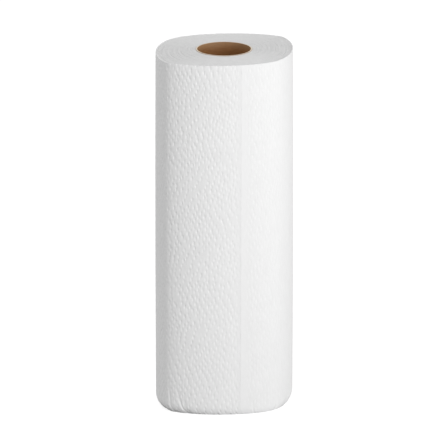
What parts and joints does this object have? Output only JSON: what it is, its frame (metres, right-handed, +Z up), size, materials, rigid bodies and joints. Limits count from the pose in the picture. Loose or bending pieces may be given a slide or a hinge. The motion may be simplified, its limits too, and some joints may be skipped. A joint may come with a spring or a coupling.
{
  "type": "paper towel roll",
  "caption": "Roll of white embossed kitchen paper wound on an open cardboard core, standing on its end, with its loose end lying flat on the wall.",
  "frame": {"origin": "on the core's axis, at the level of the sawn end that the roll stands on", "axes": "+Z up the core's axis; +X to the right and +Y away, seen from the side where the paper's loose end lies a little right of the middle"},
  "size_m": [0.1069, 0.101, 0.2794],
  "materials": {
    "towel_paper": "matt embossed tissue",
    "core_board": "matt kraft board"
  },
  "bodies": {
    "root": {"wound_paper": "towel_paper", "core_tube": "core_board"}
  },
  "joints": []
}
